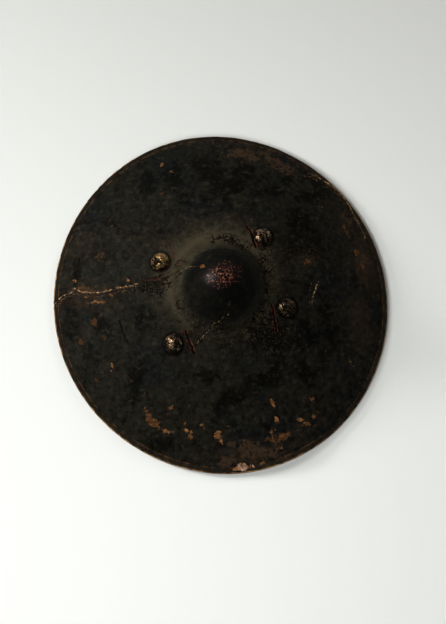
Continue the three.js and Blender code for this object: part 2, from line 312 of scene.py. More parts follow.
def turned_frame(x, y, centre_x, centre_y, turn):
    """Coordinates along and across a line at an angle in degrees through a centre."""
    angle = np.radians(turn)
    dx, dy = x - centre_x, y - centre_y
    return dx * np.cos(angle) + dy * np.sin(angle), dy * np.cos(angle) - dx * np.sin(angle)


def bezier(points, steps):
    """A cubic Bezier curve through its first and last points, as an array of steps + 1 points."""
    a, b, c, d = (np.asarray(p, float) for p in points)
    t = np.linspace(0, 1, steps + 1)[:, None]
    return (1 - t) ** 3 * a + 3 * (1 - t) ** 2 * t * b + 3 * (1 - t) * t**2 * c + t**3 * d


def unit(v):
    """Vectors of length one, each the same way as before."""
    return v / np.linalg.norm(v, axis=-1, keepdims=True)


def round_angles(sides):
    """Equal angles once round, as a row to lay against a column of rings."""
    return np.linspace(0, 2 * np.pi, sides, endpoint=False)[None, :]


# ---- Meshes ----


def add_object(name, points, faces, attributes):
    """A smooth mesh object at the origin from points in millimetres, with one number a vertex per attribute."""
    mesh = bpy.data.meshes.new(name)
    mesh.from_pydata((np.asarray(points) * MM).tolist(), [], faces)
    mesh.polygons.foreach_set("use_smooth", np.ones(len(mesh.polygons), bool))
    for key, values in attributes.items():
        layer = mesh.attributes.new(key, "FLOAT", "POINT")
        layer.data.foreach_set("value", np.asarray(values, np.float32).ravel())
    mesh.update()
    thing = bpy.data.objects.new(name, mesh)
    bpy.context.scene.collection.objects.link(thing)
    return thing


def ring_faces(rings, sides):
    """Faces of a surface of closed rings, the first ring below: quads between rings, and a fan to a pole
    vertex at each end. The poles follow the grid's vertices, the lower one first."""
    side = np.arange(sides)
    after = (side + 1) % sides
    here = sides * np.arange(rings - 1)[:, None]
    above, last = here + sides, sides * (rings - 1)
    quads = np.stack([here + side, here + after, above + after, above + side], -1)
    bottom = np.stack([after, side, np.full(sides, rings * sides)], -1)
    top = np.stack([last + side, last + after, np.full(sides, rings * sides + 1)], -1)
    return quads.reshape(-1, 4).tolist() + bottom.tolist() + top.tolist()


def with_poles(grid):
    """A grid of closed rings as one list, with the means of its first ring and its last added at the end."""
    flat = grid.reshape(-1, *grid.shape[2:])
    return np.concatenate([flat, grid[0].mean(0)[None], grid[-1].mean(0)[None]])


def grid_normals(points):
    """Outward unit normals of a grid of closed rings that is listed from below, by central differences."""
    across = np.gradient(points, axis=0)
    round_it = np.roll(points, -1, 1) - np.roll(points, 1, 1)
    return unit(np.cross(round_it, across) + 1e-9)


def add_rings(name, grid, attributes):
    """A closed object from a grid of rings listed from below, with its attributes on the same grid."""
    attributes = {key: with_poles(np.broadcast_to(values, grid.shape[:2])) for key, values in attributes.items()}
    return add_object(name, with_poles(grid), ring_faces(*grid.shape[:2]), attributes)


# ---- The hide's surface ----


def field_height(r):
    """Border height plus the rise times one minus the radius's share to a power."""
    return RIM_FACE + FIELD_RISE * (1 - (r / MEAN_RADIUS) ** FIELD_POWER)


def dome_height(r, radius):
    """The boss over the field: its height times one minus the squared share of the radius, to a power."""
    return BOSS_HEIGHT * np.clip(1 - (r / radius) ** 2, 0, None) ** BOSS_ROUNDNESS


def face_height(r):
    """The outer face: field and boss, with the moat, the ring and the groove inside the border."""
    groove = GROOVE_DEPTH * bell(r - (MEAN_RADIUS - RIM_WIDTH), GROOVE_WIDTH)
    ring = RING_HEIGHT * bell(r - RING_RADIUS, RING_WIDTH) - MOAT_DEPTH * bell(r - MOAT_RADIUS, MOAT_WIDTH)
    return field_height(r) + dome_height(r, BOSS_RADIUS) + ring - groove


def soft_face_height(r):
    """The outer face with the foot of the boss rounded: the mean of the face over a few millimetres each
    side, weighted by a bell, and left as it is away from that foot."""
    reach = np.linspace(-9, 9, 25)
    weight = bell(reach, BOSS_FOOT)
    mean = (face_height(np.abs(r[:, None] + reach)) * weight).sum(1) / weight.sum()
    near = smooth((16 - np.abs(r - BOSS_RADIUS)) / 8)
    return face_height(r) * (1 - near) + mean * near


def back_height(r):
    """The back: the field one hide thickness down, with the hollow of the boss."""
    slope = field_height(r + 1) - field_height(r)
    return field_height(r) - HIDE_THICKNESS * np.hypot(1, slope) + dome_height(r, BOSS_RADIUS - HIDE_THICKNESS)


def placed(r, angle, z):
    """A point of the turned section on the real shield: the outline's waves grow with the cube of the radius,
    the boss's shift fades with its square, and one stretch of the border is lifted by a raised cosine."""
    share = r / MEAN_RADIUS
    wave = sum(height * np.cos(count * (angle - np.radians(crest))) for count, height, crest in EDGE_WAVES)
    away = np.abs((np.degrees(angle) - WARP_ANGLE + 180) % 360 - 180)
    lift = np.where(away < WARP_HALF_WIDTH, WARP_LIFT * (1 + np.cos(np.pi * away / WARP_HALF_WIDTH)) / 2, 0)
    reach = r + wave * share**3
    shift = 1 - share**2
    x = BOSS_X * shift + reach * np.cos(angle)
    y = BOSS_Y * shift + reach * np.sin(angle)
    return np.stack(np.broadcast_arrays(x, y, z + lift * smooth((share - 0.8) / 0.17)), -1)


def outline_middle():
    """The middle of the faceted outline's box, which is the frame's origin on the floor."""
    corners = placed(MEAN_RADIUS, np.radians(np.arange(OUTLINE_FACETS) * 360 / OUTLINE_FACETS), 0.0)
    middle = (corners.min(0) + corners.max(0)) / 2
    return np.array([middle[0], middle[1], 0])


MIDDLE = outline_middle()
BOSS_CENTRE = np.array([BOSS_X, BOSS_Y]) - MIDDLE[:2]


def stud_frame(place):
    """A stud's foot on the face and its outward axis, from two small steps along the face."""

    def face_point(radius, turn):
        return placed(radius, np.radians(place.angle) + turn, face_height(radius))

    foot = face_point(place.radius, 0)
    outward, sideways = face_point(place.radius + 1, 0) - foot, face_point(place.radius, 0.01) - foot
    return foot - MIDDLE, unit(np.cross(outward, sideways))


STUD_FRAMES = {place.name: stud_frame(place) for place in STUDS}


def hide_section():
    """Radii and heights of the hide's section, from the axis below, out under the border, round its rolled
    edge as a half ellipse, and back over the face to the apex. Its points lie closer toward the boss."""
    close, closer = 140, 86
    inner = MEAN_RADIUS - RIM_WIDTH
    hollow = BOSS_RADIUS - HIDE_THICKNESS
    back = np.concatenate([
        hollow * np.sin(np.linspace(0.06, 1, 14) * np.pi / 2),
        np.linspace(hollow + 4, inner - RIM_STEP, 22),
    ])
    crown = MEAN_RADIUS - CROWN_IN
    half = (field_height(crown) + RIM_CROWN) / 2
    turn = np.radians(np.linspace(-90, 90, 12))
    foot = np.array([[inner - 1.6, 2.2], [inner, 0.3], [inner + 1, 0], [inner + 3, 0]])
    edge = np.stack([crown + (MEAN_RADIUS - crown) * np.cos(turn), half + half * np.sin(turn)], -1)
    face = np.concatenate([
        np.linspace(inner + 3, inner - 3, 7),
        np.linspace(inner - 5, close, 42),
        np.linspace(close - 2.2, closer, 24),
        np.linspace(closer - 1.2, BOSS_RADIUS, 19),
        BOSS_RADIUS * np.sin(np.linspace(0.97, 0.02, 31) * np.pi / 2),
    ])
    back_points = np.stack([back, back_height(back)], -1)
    face_points = np.stack([face, soft_face_height(face)], -1)
    return np.concatenate([back_points, foot, edge, face_points]), len(back) + len(foot), len(edge)


def mark_offset(x, y, mark, seed):
    """Signed distance from a mark's line over its half width, and one along its length. The line is its
    points' height over the chord between its ends, joined straight, plus a small noise."""
    points = np.array(mark.points, float)
    chord = points[-1] - points[0]
    length = np.hypot(*chord)
    turn = np.degrees(np.arctan2(chord[1], chord[0]))
    u, v = turned_frame(x, y, *points[0], turn)
    knots = [turned_frame(px, py, *points[0], turn) for px, py in points]
    line = np.interp(u, [k[0] for k in knots], [k[1] for k in knots])
    line = line + mark.jag * (value_noise(u, 0 * u, 5, seed) + 0.5 * value_noise(u, 0 * u, 2.2, seed + 1) - 0.75)
    inside = smooth((u + 1) / 2) * smooth((length - u + 1) / 2) * (np.abs(v - line) < 6 + 2 * mark.width)
    return (v - line) / mark.width, inside


def marked(x, y):
    """The relief of all marks, a groove between two lips each, and what the finish needs to colour them."""
    height = np.zeros(x.shape)
    offset = np.full(x.shape, 9.0)
    shares = {kind: np.zeros(x.shape) for kind in ("gold", "dark", "tan", "red", "slit")}
    for number, mark in enumerate(MARKS):
        v, inside = mark_offset(x, y, mark, 40 + 2 * number)
        away = np.abs(v) * mark.width
        height += inside * (mark.lip * bell(away - 2.4, 1.4) - mark.depth * bell(away, max(mark.width, 1.4)))
        nearest = (inside > 0) & (np.abs(v) < np.abs(offset))
        offset = np.where(nearest, v, offset)
        for kind, share in shares.items():
            share[nearest] = inside[nearest] if kind == mark.kind else 0
    return height, offset, shares


def chipped(x, y):
    """Depth inside the nearest chip's ragged outline, negative outside, and how pale its hide is. A chip is
    an ellipse whose edge is pushed in and out by noise."""
    depth = np.full(x.shape, -6.0)
    pale = np.zeros(x.shape)
    ragged = 5.0 * clouds(x, y, 7, 3, 11)
    for chip in CHIPS:
        u, v = turned_frame(x, y, chip.x, chip.y, chip.turn)
        here = (1 - np.hypot(u / chip.length, v / chip.width)) * min(chip.length, chip.width)
        here = here + ragged * min(1, chip.width / 4)
        pale = np.where(here > depth, chip.pale, pale)
        depth = np.maximum(depth, here)
    return np.clip(depth, -6, 6), pale


def patched(x, y, places):
    """The strongest of some soft patches, each a Gaussian over an ellipse."""
    total = np.zeros(x.shape)
    for patch in places:
        u, v = turned_frame(x, y, patch.x, patch.y, patch.turn)
        total = np.maximum(total, patch.strength * np.exp(-((u / patch.length) ** 2) - (v / patch.width) ** 2))
    return total


def stud_distance(x, y):
    """Distance in plan from the nearest stud's foot."""
    return np.min([np.hypot(x - foot[0], y - foot[1]) for foot, _ in STUD_FRAMES.values()], axis=0)


def build_hide(settings):
    """The whole hide as one closed surface: the section carried round, then moved along its normals by dents,
    grain, pits, marks and chips outside, nicks in the edge and slow waves on the back."""
    section, face_start, edge_count = hide_section()
    r, z = section[:, :1], section[:, 1:]
    points = placed(r, round_angles(HIDE_SIDES), z) - MIDDLE
    x, y = points[..., 0], points[..., 1]
    row = np.arange(len(section))[:, None] - face_start
    outside = np.clip(row / (edge_count - 1), 0, 1)
    on_edge = bell(row - edge_count * 0.62, 2.0)
    border = smooth((r - (MEAN_RADIUS - RIM_WIDTH)) / 2)

    boss_away = np.hypot(x - BOSS_CENTRE[0], y - BOSS_CENTRE[1])
    stud_away = stud_distance(x, y)
    calm = 1 - bell(stud_away, 20)
    mark_height, offset, shares = marked(x, y)
    chip, pale = chipped(x, y)
    crazed = patched(x, y, CRAZED) * smooth((boss_away - 50) / 14)
    # Dust lies on the ring, on the slope outside it and in the moat, and the mask is stronger toward the top left.
    upper = smooth((y - 0.5 * x + 70) / 150)
    dust = (0.35 + 0.4 * upper) * bell(boss_away - 74, 13)
    dust = dust + (0.15 + 0.3 * upper) * bell(boss_away - 95, 34) + 0.35 * upper * bell(boss_away - 56, 8)
    # The red specks fill an ellipse on the boss.
    u, v = turned_frame(x, y, 4, 15, 20)
    speck = smooth(1.6 - np.hypot(u / 26, v / 18)) * (boss_away < 50)

    # Heights in millimetres.
    wave = 0.9 * clouds(x, y, 85, 2, 1) + 0.3 * clouds(x, y, 26, 2, 5)
    grain = 0.07 * clouds(x, y, 6, 2, 9)
    pits = -0.55 * smooth((value_noise(x, y, 3.4, 21) - 0.72) / 0.12) * np.clip(crazed * 1.3, 0, 1)
    terrace = -0.6 * bell(boss_away - 50, 2.6) * smooth((y - 20) / 24)
    seat_dip_and_painted_shade = -0.35 * bell(stud_away - STUD_RADIUS, 2)
    relief = settings.relief * (wave * (1 - 0.75 * border) + grain) * calm
    relief = relief + mark_height + pits + terrace + seat_dip_and_painted_shade - 0.28 * smooth(chip / 1.2)
    nicks = on_edge * (0.35 * clouds(x, y, 9, 2, 31) - 1.1 * smooth((value_noise(x, y, 7, 33) - 0.86) / 0.1))
    inner = (1 - outside) * 0.25 * clouds(x, y, 30, 3, 51) * calm * (z > 3)
    moved = points + grid_normals(points) * (relief * outside + nicks + inner)[..., None]
    moved[..., 2] = np.maximum(moved[..., 2], 0)

    return add_rings("lacquered_shield", moved, {
        "outside": outside,
        "edge": on_edge,
        "border": border * outside,
        "chip": chip,
        "pale": pale,
        "worn": patched(x, y, WORN),
        "warm": patched(x, y, WARM),
        "gloom_and_boss_shade": patched(x, y, GLOOM_AND_BOSS_SHADE),
        "crazed": crazed,
        "dust": dust,
        "speck": speck,
        "boss": smooth((60 - np.hypot(x + 1, y - 3)) / 12),
        # Painted shade: a dark ring round each stud's foot.
        "seat_dip_and_painted_shade": bell(stud_away - STUD_RADIUS - 0.8, 2.2),
        "gloss": smooth((38 - boss_away) / 24),
        "offset": offset,
        **shares,
    })


# ---- Studs ----


def stud_section():
    """Radii and heights of a stud from the tail's middle, up the shank, and over the dome as an ellipse."""
    under = -(HIDE_THICKNESS + STRAP_GAP + STRAP_THICKNESS + GAP)
    turn = np.radians(np.linspace(0, 89, 26))
    tail = np.radians(np.linspace(-86, 0, 8))
    head = np.stack([STUD_RADIUS * np.cos(turn) ** 0.96, GAP + STUD_HEIGHT * np.sin(turn)], -1)
    foot = np.array([[SHANK_RADIUS, under], [SHANK_RADIUS, GAP], [STUD_RADIUS - 0.6, GAP]])
    hammered = np.stack([TAIL_RADIUS * np.cos(tail), under - 0.3 + (TAIL_HEIGHT - 0.3) * np.sin(tail)], -1)
    return np.concatenate([hammered, foot, head]), len(hammered) + len(foot)


def build_stud(place, settings, number):
    """A turned section on the stud's own axis, its dome raised and sunk by clouds of noise, like a beaten cap."""
    section, dome_start = stud_section()
    angle = round_angles(STUD_SIDES)
    r, z = section[:, :1], section[:, 1:]
    x, y = r * np.cos(angle), r * np.sin(angle)
    dome = 1.0 * (np.arange(len(section)) >= dome_start)[:, None]
    uneven = clouds(x + 40 * number, y, 7, 3, 61)
    points = np.stack(np.broadcast_arrays(x, y, z), -1)
    points = points + grid_normals(points) * (settings.hammering * uneven * dome * smooth(z / 3))[..., None]
    foot, axis = STUD_FRAMES[place.name]
    side = unit(np.cross([0.0, 1.0, 0.0], axis))
    points = foot + points[..., :1] * side + points[..., 1:2] * np.cross(axis, side) + points[..., 2:] * axis
    # The rubbed share rises toward the lit side and falls on the far side. This is partly wear and partly painted
    # light and painted shade. Its rise toward the top is wear.
    lit = np.radians(place.lit)
    toward = (x * np.cos(lit) + y * np.sin(lit)) / STUD_RADIUS
    rubbed = place.bare + 0.34 * toward + 0.16 * (z / STUD_HEIGHT - 0.6)
    return add_rings(place.name + "_cap", points, {"rubbed": rubbed * dome})


# ---- Straps ----


def strap_line(start, end, start_axis, end_axis):
    """The strap's middle line and its frame. It lies square to each stud's axis at its ends, and two Bezier
    curves carry it down to its lowest point between them."""
    depth = HIDE_THICKNESS + STRAP_GAP + STRAP_THICKNESS / 2
    start, end = start - depth * start_axis, end - depth * end_axis
    along = unit(end - start)
    across = unit(np.cross(along, start_axis + end_axis))
    up = np.cross(across, along)
    span = np.linalg.norm(end - start)

    def course(axis):
        return unit(np.array([axis @ up, -(axis @ along)]))

    rising, falling = course(start_axis), course(end_axis)
    far, low = np.array([span, 0]), np.array([span / 2, -STRAP_BOW])
    left, right = rising * TAB_IN, far - falling * TAB_IN
    flat = np.array([STRAP_FLAT, 0])
    out = np.linspace(-TAB_OUT, TAB_IN, 12, endpoint=False)[:, None] * rising
    down = bezier((left, left + rising * STRAP_EASE, low - flat, low), 28)
    back = bezier((low, low + flat, right - falling * STRAP_EASE, right), 28)[1:]
    close = far + np.linspace(-TAB_IN, TAB_OUT, 13)[1:, None] * falling
    return np.concatenate([out, down, back, close]), start, along, up, across


def build_strap(name, start, end):
    """A flat section with rounded edges, its width and thickness powers of a cosine and a sine, carried along
    the strap's line. It is slightly cupped, with a groove along each edge and rounded ends."""
    foot, axis = STUD_FRAMES[start]
    far_foot, far_axis = STUD_FRAMES[end]
    line, origin, along, up, across = strap_line(foot, far_foot, axis, far_axis)
    course = unit(np.gradient(line, axis=0))
    normal = np.stack([-course[:, 1], course[:, 0]], -1)
    turn = round_angles(STRAP_SIDES)
    cosine, sine = np.cos(turn), np.sin(turn)
    wide = STRAP_WIDTH / 2 * np.sign(cosine) * np.abs(cosine) ** 0.35
    thick = STRAP_THICKNESS / 2 * np.sign(sine) * np.abs(sine) ** 0.45
    step = np.cumsum(np.r_[0, np.linalg.norm(np.diff(line, axis=0), axis=1)])
    ends = np.minimum(step, step[-1] - step)
    middle = smooth((ends - 20) / 20)[:, None]
    round_end = np.sqrt(np.clip(1 - np.clip(1 - ends / 6, 0, 1) ** 2, 0.04, 1))[:, None]
    worn = 1 - 0.05 * middle * bell(step - step[-1] / 2, 40)[:, None]
    x = wide * worn * (0.8 + 0.2 * round_end)
    groove = 0.18 * bell(np.abs(x) - STRAP_WIDTH / 2 + 3.2, 0.7) * (np.abs(thick) > 1)
    lift = thick * (1 - groove) + middle * (0.0016 * x**2 - 0.1)
    lift = lift + 0.12 * middle * clouds(step[:, None] + 0 * x, x, 14, 2, 71)
    flat = line[:, None, :] + normal[:, None, :] * lift[..., None]
    points = origin + flat[..., :1] * along + flat[..., 1:] * up + x[..., None] * across
    rim = smooth((np.abs(x) / (STRAP_WIDTH / 2) - 0.9) / 0.08)
    return add_rings(name + "_leather", points, {"rim": rim, "wear": middle})


# ---- Finishes ----


class Value:
    """A number that varies over the surface. Arithmetic on it adds Math nodes."""

    def __init__(self, finish, socket):
        self.finish = finish
        self.socket = socket

    def math(self, operation, *others, clamp=False):
        inputs = dict(enumerate((self, *others)))
        node = self.finish.node("Math", {"operation": operation, "use_clamp": clamp}, inputs)
        return Value(self.finish, node.outputs[0])

    def __add__(self, other):
        return self.math("ADD", other)

    def __sub__(self, other):
        return self.math("SUBTRACT", other)

    def __rsub__(self, other):
        return (self * -1).math("ADD", other)

    def __mul__(self, other):
        return self.math("MULTIPLY", other)

    __radd__ = __add__
    __rmul__ = __mul__

    def absolute(self):
        return self.math("ABSOLUTE")

    def largest(self, other):
        return self.math("MAXIMUM", other)

    def clamped(self):
        return self.math("ADD", 0.0, clamp=True)

    def between(self, low, high):
        """Zero at low, one at high, and an S-curve between. High may be the lower number."""
        settings = {"interpolation_type": "SMOOTHSTEP"}
        inputs = {"Value": self, "From Min": min(low, high), "From Max": max(low, high)}
        made = Value(self.finish, self.finish.node("MapRange", settings, inputs).outputs["Result"])
        return made if low < high else 1 - made


class Finish:
    """One material, built node by node on a Principled shader."""

    def __init__(self, name):
        self.material = bpy.data.materials.new(name)
        self.material.use_nodes = True
        self.tree = self.material.node_tree
        self.tree.nodes.clear()
        self.place = self.node("TexCoord").outputs["Object"]

    def node(self, kind, settings=None, inputs=None):
        """A node of a kind, with its settings first and then the values or links of its inputs."""
        node = self.tree.nodes.new("ShaderNode" + kind)
        for key, value in (settings or {}).items():
            setattr(node, key, value)
        for key, value in (inputs or {}).items():
            self.feed(node.inputs[key], value)
        return node

    def feed(self, socket, value):
        if isinstance(value, Value):
            self.tree.links.new(value.socket, socket)
        elif isinstance(value, bpy.types.NodeSocket):
            self.tree.links.new(value, socket)
        elif socket.type == "RGBA":
            socket.default_value = (*value[:3], 1)
        else:
            socket.default_value = value

    def attribute(self, name):
        return Value(self, self.node("Attribute", {"attribute_name": name}).outputs["Fac"])

    def noise(self, size, detail, rough, stretch=None, distortion=0.0):
        """Noise from 0 to 1 whose lumps are about size metres across, stretched along an axis if asked."""
        vector = self.place
        if stretch:
            vector = self.node("Mapping", {}, {"Vector": vector, "Scale": stretch}).outputs["Vector"]
        inputs = {"Vector": vector, "Scale": 1 / size, "Detail": detail, "Roughness": rough, "Distortion": distortion}
        return Value(self, self.node("TexNoise", {}, inputs).outputs["Fac"])

    def cells(self, size, feature="F1"):
        """Distance in a pattern of cells about size metres across."""
        inputs = {"Vector": self.place, "Scale": 1 / size}
        return Value(self, self.node("TexVoronoi", {"feature": feature}, inputs).outputs["Distance"])

    def mix(self, share, first, second):
        """The first colour where share is zero, and the second where it is one."""
        return self.node("Mix", {"data_type": "RGBA"}, {0: share, 6: first, 7: second}).outputs[2]

    def over(self, share, colour):
        """Lays a colour over the tint where share is one."""
        self.tint = self.mix(share, self.tint, colour)

    def part(self, vector, letter):
        """One coordinate of a vector."""
        return Value(self, self.node("SeparateXYZ", {}, {"Vector": vector}).outputs[letter])

    def bump(self, height, distance, strength):
        """A normal tilted by a height, which is scaled to a distance in metres."""
        return self.node("Bump", {}, {"Height": height, "Distance": distance, "Strength": strength}).outputs["Normal"]

    def surface(self, **inputs):
        """The Principled shader and the output, which finish the material."""
        names = {key.replace("_", " "): value for key, value in inputs.items()}
        shader = self.node("BsdfPrincipled", {}, names)
        self.node("OutputMaterial", {}, {"Surface": shader.outputs["BSDF"]})
        return self.material


def dimmed(tint, share):
    """A colour made darker or lighter by a share."""
    return tuple(channel * share for channel in tint)


def lacquer_finish(settings):
    """Black lacquer over a red coat on hide: clouded, rubbed brown, dusty, crazed and chipped."""
    f = Finish("lacquered_hide")
    cloud = f.noise(0.075, 3, 0.55)
    patch = f.noise(0.026, 5, 0.62, distortion=0.5)
    streak = f.noise(0.010, 4, 0.62)
    mottle = f.noise(0.0065, 4, 0.6, distortion=0.4)
    grain = f.noise(0.0036, 3, 0.65)
    grit = f.noise(0.0012, 2, 0.6)
    patchy, streaky, mottled, grainy, gritty = (noise - 0.5 for noise in (patch, streak, mottle, grain, grit))
    border, crazed, boss = (f.attribute(name) for name in ("border", "crazed", "boss"))
    offset = f.attribute("offset").absolute()

    # The coat: olive black, bluish in places, and deep black in ragged clouds.
    f.tint = f.mix(cloud.between(0.48, 0.66) * 0.85, settings.lacquer, settings.lacquer_blue)
    f.over(streaky.between(0.0, 0.3) * 0.55, dimmed(settings.lacquer, 1.9))
    # These dark clouds also lay the painted shade under the boss.
    clouded = f.attribute("gloom_and_boss_shade") * 0.30 + patch + streaky * 0.35 + grainy * 0.15
    f.over(clouded.between(0.51, 0.68) * 0.85, settings.deep_black_and_shade)
    speckle = mottle + gritty * 0.35 + streaky * 0.4
    f.over(speckle.between(0.49, 0.36) * 0.7, settings.deep_black_and_shade)
    f.over(speckle.between(0.54, 0.70) * 0.55, dimmed(settings.lacquer, 2.6))
    flank = (patch + streaky * 0.6 + mottled * 0.5).between(0.49, 0.62)
    flank = f.mix(flank * (1 - f.attribute("gloss")), settings.boss, SCUFFED_BOSS)
    f.over(boss * 0.9, flank)

    # Rubbed: a faint warm tone in streaks, and dull brown patches with a broken edge.
    warm = f.attribute("warm") * 0.7 + streaky * 1.1 + patchy * 0.8
    f.over(warm.between(0.25, 0.95) * 0.55, settings.rubbed)
    rub = f.attribute("worn") + streaky * 2.4 + grainy * 1.8 + patchy * 0.8 + gritty * 0.8
    rub = rub.between(0.50, 0.68)
    brown = f.mix(grain.between(0.35, 0.7), dimmed(settings.rubbed, 0.8), dimmed(settings.rubbed, 1.35))
    f.over(rub * mottle.between(0.34, 0.46) * 0.85, brown)
    f.over((border + streaky * 0.8 + grainy * 0.5).between(0.45, 1.2) * 0.22, settings.rubbed)
    # A thin broken line of bare hide along the border's inner edge, which is also a painted highlight on that edge.
    ring = border.between(0.1, 0.45) * border.between(0.9, 0.55) * (streak + gritty * 0.8).between(0.46, 0.58)
    f.over(ring * 0.7, dimmed(settings.hide, 0.4))

    # Dust lies on the ring and in the low places.
    dusty = f.attribute("dust") + streaky * 0.9 + patchy * 0.7 + gritty * 0.5
    dusty = dusty.between(0.20, 1.05) * (0.75 - boss * 0.6)
    f.over(dusty, settings.dust)

    # Fine cracks and pits, with paler flecks beside them, and painted shade in a ring round each stud's foot.
    reach = (crazed + patchy * 1.5 + streaky * 0.6).between(0.36, 0.62)
    craze = f.cells(0.0095, "DISTANCE_TO_EDGE") + grainy * 0.30
    crack = craze.between(0.11, 0.05) * reach * (grain * 0.5 + streak * 0.5).between(0.46, 0.52)
    pit = (grain + gritty * 0.35).between(0.46, 0.42) * reach
    dark_spots = crack.largest(pit)
    flecks = (grit + grainy * 0.6).between(0.57, 0.64) * (crazed + 0.12).between(0.1, 0.8)
    f.over(flecks * 0.42, FLECK)
    f.over(dark_spots.largest(f.attribute("seat_dip_and_painted_shade") * 0.8) * 0.95, PIT_AND_PAINTED_SHADE)

    # A red network and specks over the boss.
    near = f.attribute("speck")
    net = f.cells(0.0040, "DISTANCE_TO_EDGE") + gritty * 0.5 + (1 - near) * 0.14
    specks = net.between(0.09, 0.03) * near.between(0.05, 0.35) * (grain + gritty * 0.9).between(0.46, 0.54)
    f.over(specks, f.mix(grain.between(0.40, 0.65), SPECK_RED, SPECK_PINK))

    # Marks: split lines show hide, slits are dark between red lips, and folds are dark.
    broken = (streak * 0.4 + grain * 0.6 + gritty * 0.8).between(0.46, 0.54)
    dotted = (grain + streaky * 0.4 + gritty * 0.4).between(0.51, 0.57)
    line = (offset + gritty * 1.4).between(1.05, 0.6)
    lips = (offset - 1.5 + gritty * 1.2 + grainy * 1.6).absolute().between(0.8, 0.3)
    lips = lips * (grain + streaky * 0.8 + gritty * 0.5).between(0.46, 0.55)
    gold = f.attribute("gold")
    beside = gold * offset.between(5.5, 1.2) * (grain + mottled * 0.5).between(0.55, 0.60)
    f.over(beside * 0.7, SPLIT_FLAKE)
    f.over(gold * line * broken, f.mix(grain.between(0.45, 0.60), SPLIT_BROWN, SPLIT_GOLD))
    f.over(f.attribute("tan") * line * dotted, SCRATCH_GOLD)
    f.over(f.attribute("red") * line * grain.between(0.36, 0.6) * 0.5, dimmed(settings.red, 0.35))
    slit = f.attribute("slit")
    f.over(slit * lips * 0.8, SLIT_LIP)
    dark_line = (slit + f.attribute("dark") * (grain + streaky).between(0.36, 0.5)).clamped()
    dark_line = dark_line * offset.between(1.2, 0.65)
    f.over(dark_line * 0.9, CREASE)

    # Chips bare the hide, tan and brown, with a ragged edge.
    depth = f.attribute("chip") + gritty * 3.5 + grainy * 8.0 + streaky * 7.0
    bare = depth.between(-0.10, 0.45)
    pale = f.attribute("pale")
    shade = (pale + grainy * 2.2 + gritty * 1.2).between(0.1, 1.1)
    worn = f.mix(shade, dimmed(settings.hide, 0.14), dimmed(settings.hide, 0.85))
    bone = pale.between(1.2, 1.6) * (grain + mottled * 0.8).between(0.47, 0.56)
    worn = f.mix(bone, worn, BONE)
    stained = (streak + gritty * 0.9).between(0.46, 0.58) * 0.7
    f.over(bare, f.mix(stained, worn, dimmed(settings.hide, 0.12)))

    # The outer edge is worn through to hide and red, and its pale line is also a painted highlight along the rolled
    # edge.
    worn_and_highlit_edge = (f.attribute("edge") + streaky * 1.5 + gritty * 0.7).between(0.66, 0.95)
    edge_tint = f.mix(cloud.between(0.52, 0.64) * 0.7, EDGE_HIDE_AND_HIGHLIGHT, dimmed(settings.red, 0.55))
    f.over(worn_and_highlit_edge * 0.8, edge_tint)

    # The back is bare brown hide.
    back = 1 - f.attribute("outside").between(0.1, 0.35)
    f.over(back, f.mix(patch.between(0.3, 0.7), BACK_PALE, BACK_DARK))

    rough = 0.64 + patchy * 0.25 + gritty * 0.15 + dusty * 0.2 + bare * 0.2 + rub * 0.1 + back * 0.2
    shape = patch * 0.5 + grain * 0.45 + grit * 0.12 - bare * 0.6 - dark_spots * 0.8 - dark_line * 0.8 + specks * 0.2
    return f.surface(
        Base_Color=f.tint,
        Roughness=rough.clamped(),
        Normal=f.bump(shape, 0.0008, 0.85),
        Specular_IOR_Level=0.07,
        Coat_Weight=(f.attribute("gloss") * (1 - specks) * 0.34).clamped(),
        Coat_Roughness=0.34,
    )


def stud_finish(place, settings):
    """Beaten brass under a dark coat that is rubbed off in broken patches, with painted light on each stud's lit side
    and painted shade on its far side.
    """
    f = Finish(place.name + "_brass")
    blotch = f.noise(0.0060, 3, 0.60, distortion=0.8)
    grain = f.noise(0.0014, 3, 0.6)
    scratch = f.noise(0.0012, 2, 0.5, stretch=(0.3, 1.6, 1))
    blotchy, grainy, scratchy = (noise - 0.5 for noise in (blotch, grain, scratch))
    metal_tone = [place.tone * (g * place.gilt + p * (1 - place.gilt)) for g, p in zip(settings.metal, settings.plain)]
    # Bare metal follows the rubbed share, so it carries the painted light and shade on each stud's sides.
    bare = f.attribute("rubbed") + blotchy * 3.0 + grainy * 1.6 + scratchy * 0.8
    bare = bare.between(0.48, 0.60)
    hollow = f.cells(0.0066) + blotchy * 1.4 + grainy * 0.3
    spots = hollow.between(0.32, 0.26).largest((blotch + grainy * 0.4).between(0.46, 0.43))
    shaded = [channel * share for channel, share in zip(metal_tone, METAL_SHADE)]
    metal = f.mix(grain.between(0.40, 0.60), metal_tone, shaded)
    brown = f.mix(grain.between(0.4, 0.7), settings.coat, COAT_BROWN)
    f.tint = f.mix(spots, f.mix(bare, brown, metal), STUD_PIT)
    shape = blotch * 0.5 + grain * 0.25 + scratch * 0.2 + bare * 0.2 - spots * 0.7
    return f.surface(
        Base_Color=f.tint,
        Metallic=(0.92 - spots * 0.5).clamped(),
        Roughness=(0.28 - bare * 0.06 + grainy * 0.3 + spots * 0.4).clamped(),
        Normal=f.bump(shape, 0.0017, 0.9),
        Specular_IOR_Level=0.15,
    )


def strap_finish(settings):
    """Dry brown leather with a fine grain, darker at its cut edges and where hands have held it."""
    f = Finish("strap_leather")
    patch = f.noise(0.018, 4, 0.6)
    grain = f.noise(0.0016, 3, 0.6)
    pores = f.cells(0.0011)
    f.tint = f.mix(patch.between(0.3, 0.7), settings.leather, dimmed(settings.leather, 0.55))
    f.over(f.attribute("wear") * patch.between(0.35, 0.6) * 0.6, settings.edge)
    f.over(f.attribute("rim"), settings.edge)
    return f.surface(
        Base_Color=f.tint,
        Roughness=0.68 + (grain - 0.5) * 0.3,
        Normal=f.bump(grain * 0.6 + pores * 0.5, 0.0003, 0.8),
    )


